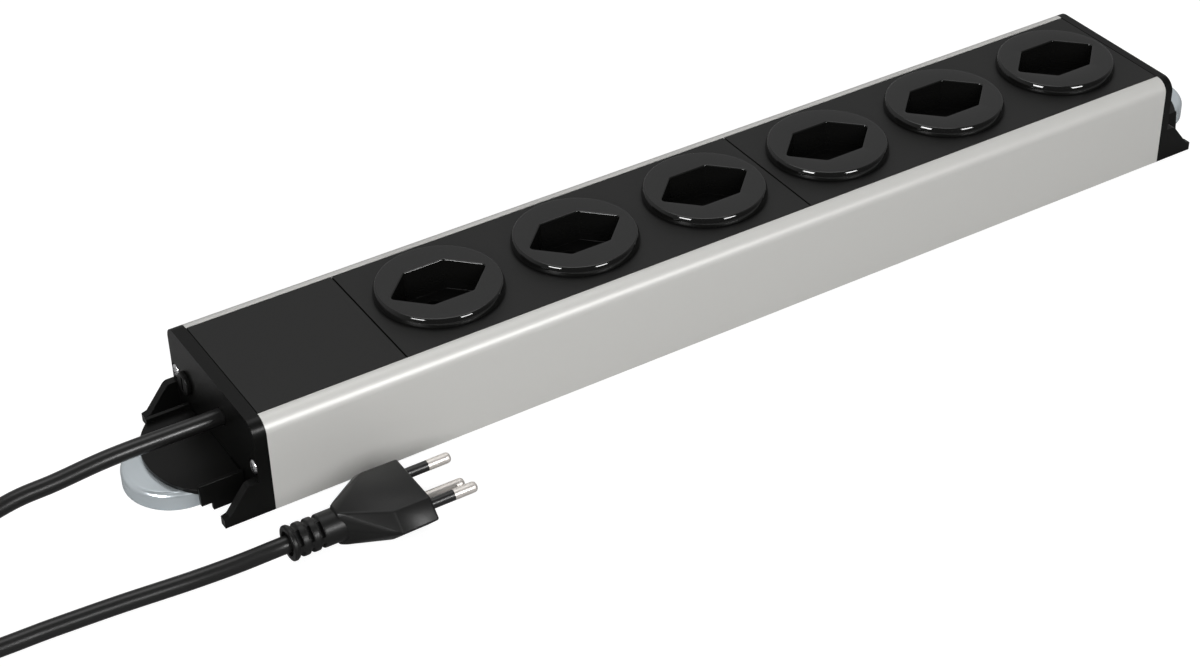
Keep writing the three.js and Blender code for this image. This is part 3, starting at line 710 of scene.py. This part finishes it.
def build_relief():
    """A round neck, then ribs with four windows between each pair, and an end flange round the lead."""
    low, high = (Vector(corner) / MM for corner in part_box("plug_strain_relief"))
    middle = (low + high) / 2
    place = towards((-1, 0, 0), Vector((high.x, middle.y, middle.z)) * MM) @ Matrix.Scale(MM, 4)
    gaps = [WINDOW["first"] + WINDOW["pitch"] * i for i in range(3)]
    profile = relief_profile(gaps, high.x - low.x)
    piece = make_object("plug_strain_relief_piece", turned(profile, place, LARGE_ROUND))
    windows = []
    for gap in gaps:
        for quarter in range(4):
            window = box_mesh((WINDOW["inner"], -WINDOW["across"], gap - WINDOW["half"]),
                              (NECK_R + 1, WINDOW["across"], gap + WINDOW["half"]))
            turn = Matrix.Rotation(math.radians(45 + 90 * quarter), 4, "Z")
            bmesh.ops.transform(window, matrix=place @ turn, verts=window.verts)
            windows.append(make_object("window", window))
    cut(piece, windows)
    finish_piece(piece, "plug_pvc", "plug_strain_relief", edge=0.12 * MM)


PIN_R = 2 * MM
PIN_TIP = 1.4 * MM
TIP_DRAW = 0.75  # how far the tip draws in, as a share of its length
PIN_FOOT_R = 1.4 * MM
SLEEVE_WALL = 0.45 * MM
SLEEVED_PINS = ("line", "neutral")


def pin_profile(length, start):
    """A pin's bare part, from its start to its rounded tip."""
    profile = [(PIN_R, start)]
    for a in range(0, 91, 15):
        turn = math.radians(a)
        r = PIN_R - PIN_TIP * TIP_DRAW * (1 - math.cos(turn))
        profile.append((r, length - PIN_TIP + PIN_TIP * math.sin(turn)))
    return profile


def build_pins():
    """Three round pins; the outer two are thinner under their sleeves."""
    for pin in PINS:
        node = f"plug_pin_{pin}"
        low, high = (Vector(corner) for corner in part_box(node))
        middle = (low + high) / 2
        place = towards((1, 0, 0), (low.x, middle.y, middle.z))
        length = high.x - low.x
        profile = [(PIN_FOOT_R, 0)] + pin_profile(length, 0)
        if pin in SLEEVED_PINS:
            sleeve_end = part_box(f"pin_sleeve_{pin}")[1][0] - low.x
            neck = PIN_R - SLEEVE_WALL
            profile = [(neck, 0), (neck, sleeve_end)] + pin_profile(length, sleeve_end)
        piece = make_object(f"{node}_piece", turned(profile, place, SMALL_ROUND))
        finish_piece(piece, "pin_nickel", node)
    for pin in SLEEVED_PINS:
        refined(f"pin_sleeve_{pin}", "pin_sleeve", 0.1 * MM)


# ---------- inside ----------

def build_inside():
    for side in ("a", "b"):
        refined(f"contact_carrier_{side}", "inner_grey", 0.2 * MM)
    for bar in PINS:
        refined(f"busbar_{bar}", "contact_brass", 0)
    refined("cable_clamp", "inner_grey", 0.3 * MM)


# ---------- floor, light and camera ----------

FLOOR_HALF = 6
FLOOR_GLOW = (0, 0.85)  # for other rays, and for the camera's
FLOOR_TONE = (0.4, 0.35)  # the same
SKY = (0.1, 0.42)  # the world's strength in front and behind
SOFTBOX = {"elevation": 26, "distance": 1.5, "size": (0.5, 0.3), "power": 13}
CAMERA_PLACE = (-0.4411, -0.6513, 0.5499)
CAMERA_TURN = {"azimuth": -31.1, "elevation": 36.31, "roll": -1.39}


def build_floor():
    """A white floor that glows for the camera only, so that black parts don't mirror it."""
    mesh_data = bmesh.new()
    bmesh.ops.create_grid(mesh_data, x_segments=1, y_segments=1, size=FLOOR_HALF)
    floor = make_object("floor", mesh_data)
    floor.location.z = cad_low.z - 0.1 * MM
    material, tree, shader = shader_of("floor")
    shader.inputs["Roughness"].default_value = 0.9
    shader.inputs["Specular IOR Level"].default_value = 0
    shader.inputs["Emission Color"].default_value = (1, 1, 1, 1)
    camera_ray = tree.nodes.new("ShaderNodeLightPath").outputs["Is Camera Ray"]
    feed(tree, camera_ray, shader.inputs["Emission Strength"], FLOOR_GLOW)
    feed(tree, camera_ray, shader.inputs["Base Color"], FLOOR_TONE)
    floor.data.materials.append(material)


def way_to(azimuth, elevation):
    """The direction from the strip; azimuth 0 is in front of it and positive to the right, in degrees."""
    a = math.radians(azimuth)
    e = math.radians(elevation)
    return Vector((math.sin(a) * math.cos(e), -math.cos(a) * math.cos(e), math.sin(e)))


def build_light(name, azimuth, elevation, distance, size, power):
    """An oblong soft light that faces the strip."""
    way = way_to(azimuth, elevation)
    data = bpy.data.lights.new(name, "AREA")
    data.shape = "RECTANGLE"
    data.size, data.size_y = size
    data.energy = power
    light = bpy.data.objects.new(name, data)
    light.location = way * distance
    light.rotation_mode = "QUATERNION"
    light.rotation_quaternion = way.to_track_quat("Z", "Y")
    bpy.context.scene.collection.objects.link(light)
    return light


def build_world():
    """White all round, and stronger behind the strip than in front of it."""
    world = bpy.data.worlds.new("studio")
    world.use_nodes = True
    tree = world.node_tree
    background = tree.nodes["Background"]
    background.inputs["Color"].default_value = (1, 1, 1, 1)
    place = tree.nodes.new("ShaderNodeTexCoord")
    split = tree.nodes.new("ShaderNodeSeparateXYZ")
    tree.links.new(place.outputs["Generated"], split.inputs["Vector"])
    feed(tree, split.outputs["Y"], background.inputs["Strength"], SKY, (-0.5, 0.5))
    bpy.context.scene.world = world


def build_studio():
    """Two low softboxes that only make highlights, one light above and one in front that only fills."""
    build_world()
    for name, azimuth in (("softbox_left", -68), ("softbox_right", 12)):
        softbox = build_light(name, azimuth, **SOFTBOX)
        softbox.visible_diffuse = False
    build_light("softbox_top", azimuth=160, elevation=72, distance=1.6, size=(1.0, 0.8), power=4.4)
    fill = build_light("front_fill", azimuth=-26, elevation=30, distance=1.9, size=(2.2, 1.2), power=29)
    fill.visible_glossy = False
    bpy.context.scene.view_settings.view_transform = "Standard"


def build_camera():
    """The camera stands front left of the strip, above it, and rolls slightly."""
    data = bpy.data.cameras.new("camera")
    data.lens = 73.3
    data.sensor_width = 36
    camera = bpy.data.objects.new("camera", data)
    camera.location = CAMERA_PLACE
    camera.rotation_mode = "QUATERNION"
    look = (-way_to(CAMERA_TURN["azimuth"], CAMERA_TURN["elevation"])).to_track_quat("-Z", "Y")
    roll = Matrix.Rotation(math.radians(CAMERA_TURN["roll"]), 3, "Z").to_quaternion()
    camera.rotation_quaternion = look @ roll
    data.clip_start = 0.01
    bpy.context.scene.collection.objects.link(camera)
    bpy.context.scene.camera = camera


build_housing()
build_sockets()
build_screws()
build_vent_plug()
for end in ("left", "right"):
    build_magnet(end)
build_lead()
build_plug_body()
build_relief()
build_pins()
build_inside()
build_floor()
build_studio()
build_camera()
